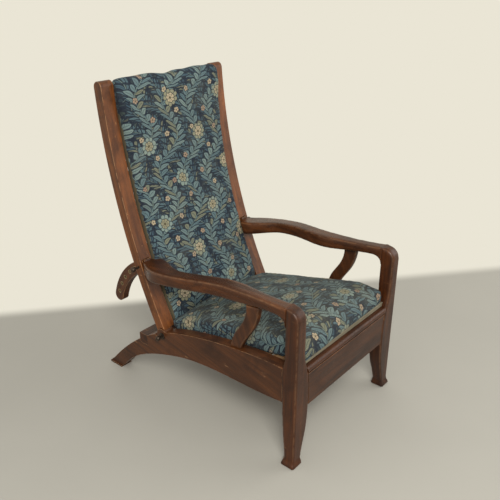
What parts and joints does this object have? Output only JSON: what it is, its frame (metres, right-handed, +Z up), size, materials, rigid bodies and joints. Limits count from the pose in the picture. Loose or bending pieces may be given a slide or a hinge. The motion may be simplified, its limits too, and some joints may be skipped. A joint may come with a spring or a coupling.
{
  "type": "reclining armchair",
  "caption": "Wooden armchair with sabre rear legs, shaped arms and a padded back that reclines along curved, pierced bars and is locked by knobbed pegs.",
  "frame": {"origin": "on the floor, in the middle of the bounding box's width and depth", "axes": "+X towards the sitter's left, -Y towards the front, +Z up"},
  "size_m": [0.6092, 0.86, 1.0412],
  "materials": {
    "frame_wood": "worn polished hardwood",
    "inner_wood": "plain sawn wood",
    "deck_wood": "pale plain wood",
    "upholstery": "woven tapestry with a leaf and flower pattern",
    "dark_iron": "dark turned metal",
    "brass": "dulled",
    "screw_steel": "plain"
  },
  "bodies": {
    "chair_frame": {"front_leg_left": "frame_wood", "front_leg_right": "frame_wood", "side_rail_left": "frame_wood", "side_rail_right": "frame_wood", "arm_left": "frame_wood", "arm_right": "frame_wood", "arm_strut_left": "frame_wood", "arm_strut_right": "frame_wood", "quadrant_left": "frame_wood", "quadrant_right": "frame_wood", "quadrant_eyelets_left": "brass", "quadrant_eyelets_right": "brass", "front_rail": "frame_wood", "front_nosing": "frame_wood", "corner_blocks": "inner_wood", "rear_cross_rail": "frame_wood", "seat_bearer_left": "inner_wood", "seat_bearer_right": "inner_wood", "seat_deck_front": "deck_wood", "seat_slats": "inner_wood", "bearer_screws_left": "screw_steel", "bearer_screws_right": "screw_steel", "slat_screws": "screw_steel", "seat_cushion": "upholstery", "pivot_pin_left": "dark_iron", "pivot_pin_right": "dark_iron", "pivot_washer_left": "dark_iron", "pivot_washer_right": "dark_iron"},
    "reclining_back": {"back_stile_left": "frame_wood", "back_stile_right": "frame_wood", "back_top_rail": "frame_wood", "back_bottom_rail": "frame_wood", "back_slats": "inner_wood", "back_pad": "upholstery"},
    "left_peg": {"lock_peg_left": "dark_iron"},
    "right_peg": {"lock_peg_right": "dark_iron"}
  },
  "joints": [
    {"name": "back_recline", "type": "hinge", "parent": "chair_frame", "child": "reclining_back", "pos_m": [0, 0.132, 0.231], "axis": [-1, 0, 0], "range_deg": [0, 45.5]},
    {"name": "left_peg_slide", "type": "slide", "parent": "reclining_back", "child": "left_peg", "axis": [-1, 0, 0], "range_m": [-0.008, 0.013]},
    {"name": "right_peg_slide", "type": "slide", "parent": "reclining_back", "child": "right_peg", "axis": [1, 0, 0], "range_m": [-0.008, 0.013]}
  ]
}
